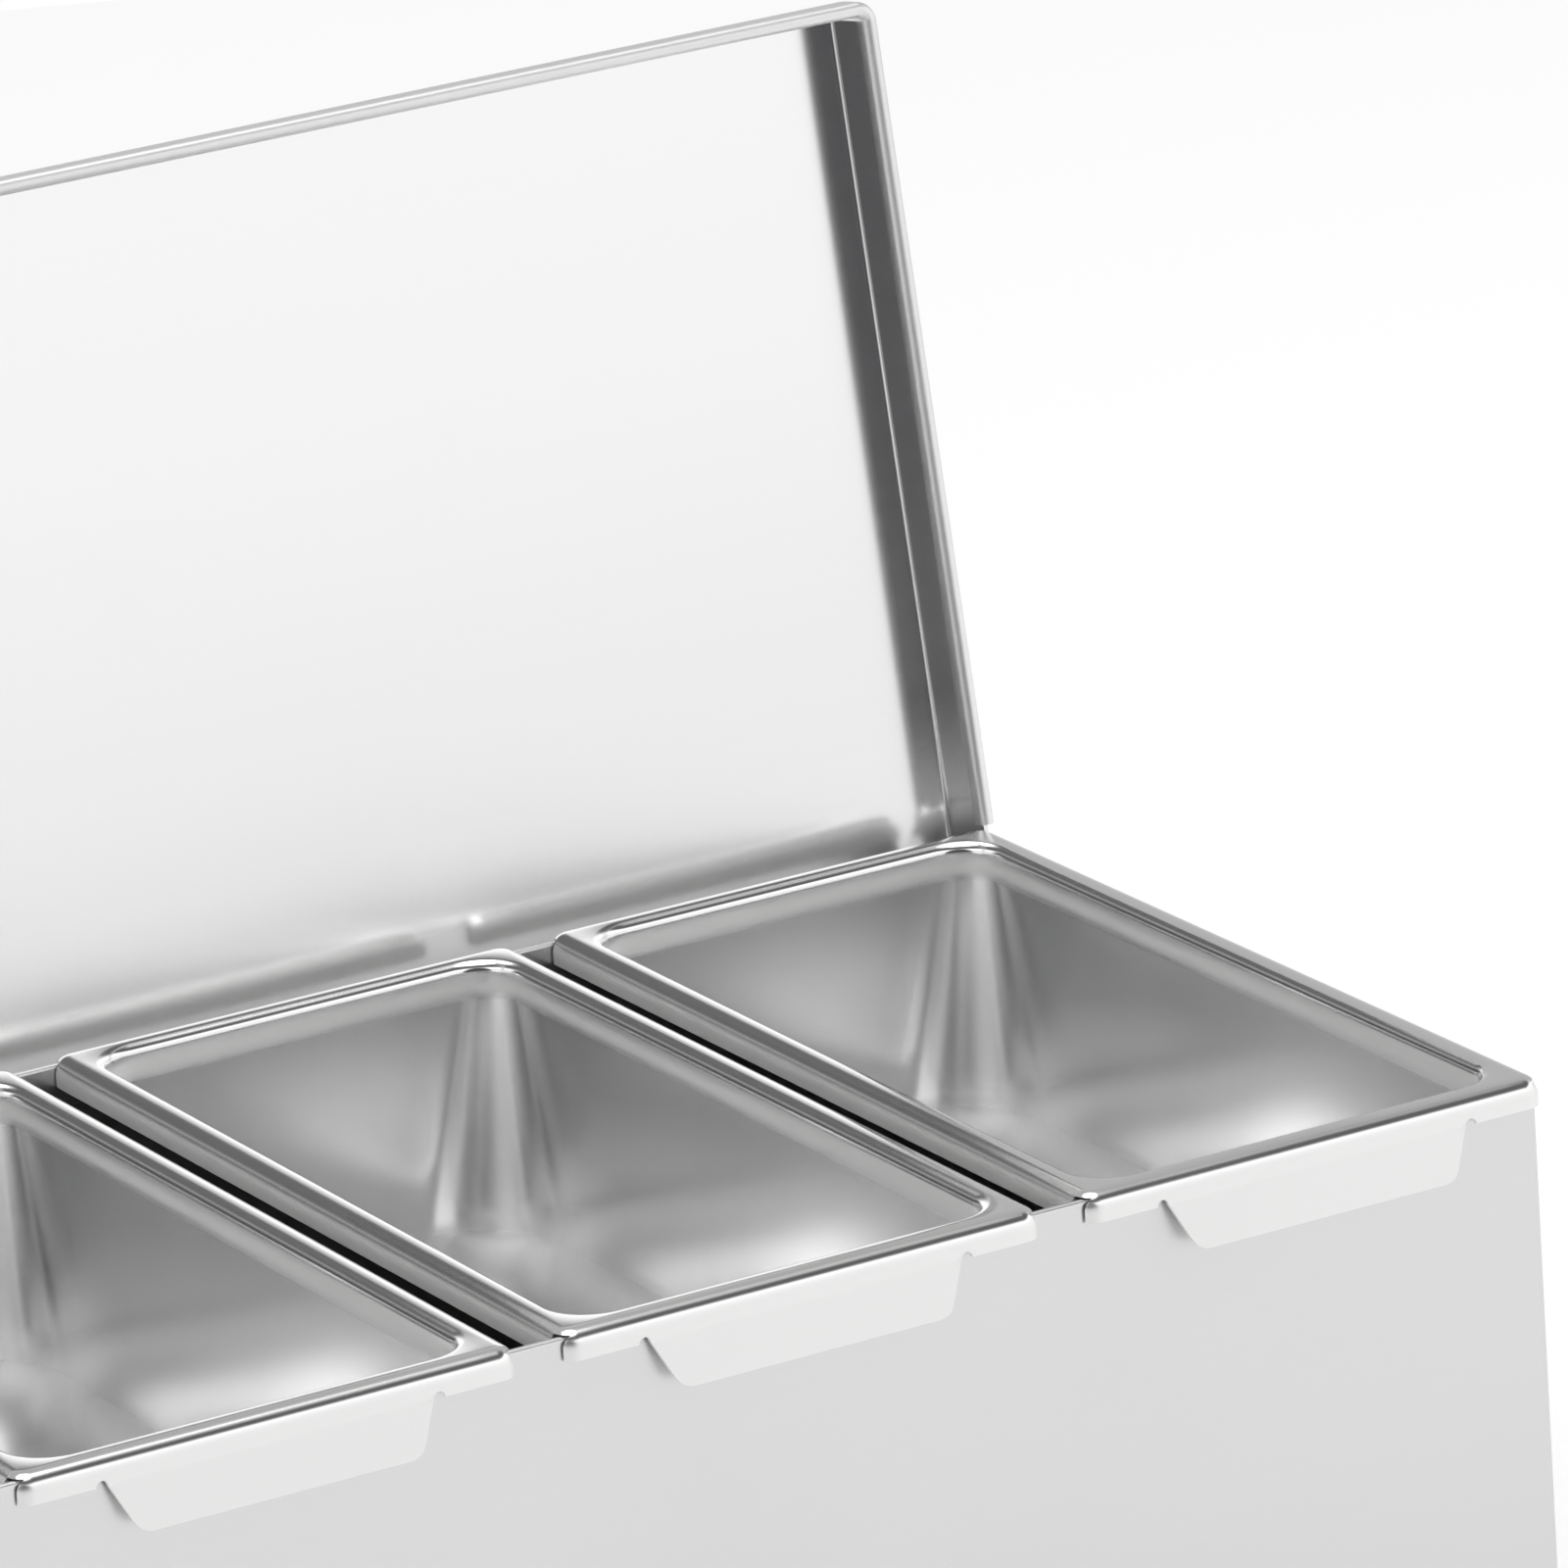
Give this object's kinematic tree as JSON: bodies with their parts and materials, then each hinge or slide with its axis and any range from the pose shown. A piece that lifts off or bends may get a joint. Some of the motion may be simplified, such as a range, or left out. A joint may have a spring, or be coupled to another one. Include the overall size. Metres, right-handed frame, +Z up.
{
  "type": "condiment caddy",
  "caption": "Long sheet-steel caddy with a row of lift-out condiment pans hung by their rims in a casing, under one flip-up lid hinged at the back.",
  "frame": {"origin": "centre of the casing's underside", "axes": "+X along the row of pans, to the right as seen from the front; -Y is the front; +Z is up"},
  "size_m": [0.4004, 0.2263, 0.2606],
  "materials": {
    "casing_steel": "satin sheet, fine horizontal grain",
    "pan_steel": "pressed satin sheet with bright rims",
    "lid_steel": "near-mirror satin sheet",
    "fastener_steel": "polished",
    "spacer_nylon": "natural nylon"
  },
  "bodies": {
    "casing": {"front_panel": "casing_steel", "back_panel": "casing_steel", "left_side_panel": "casing_steel", "right_side_panel": "casing_steel", "base_panel": "casing_steel", "left_hinge_pin": "fastener_steel", "right_hinge_pin": "fastener_steel", "left_spacer": "spacer_nylon", "right_spacer": "spacer_nylon", "left_washer": "fastener_steel", "right_washer": "fastener_steel"},
    "pan_1": {"pan_1": "pan_steel"},
    "pan_2": {"pan_2": "pan_steel"},
    "pan_3": {"pan_3": "pan_steel"},
    "pan_4": {"pan_4": "pan_steel"},
    "lid": {"lid": "lid_steel", "left_lug": "lid_steel", "right_lug": "lid_steel"}
  },
  "joints": [
    {"name": "lid_hinge", "type": "hinge", "parent": "casing", "child": "lid", "pos_m": [0, 0.0775, 0.0903], "axis": [-1, 0, 0], "range_deg": [-99.2, 0]},
    {"name": "pan_1_lift", "type": "slide", "parent": "casing", "child": "pan_1", "axis": [0, 0, 1], "range_m": [0, 0.12]},
    {"name": "pan_2_lift", "type": "slide", "parent": "casing", "child": "pan_2", "axis": [0, 0, 1], "range_m": [0, 0.12]},
    {"name": "pan_3_lift", "type": "slide", "parent": "casing", "child": "pan_3", "axis": [0, 0, 1], "range_m": [0, 0.12]},
    {"name": "pan_4_lift", "type": "slide", "parent": "casing", "child": "pan_4", "axis": [0, 0, 1], "range_m": [0, 0.12]}
  ]
}
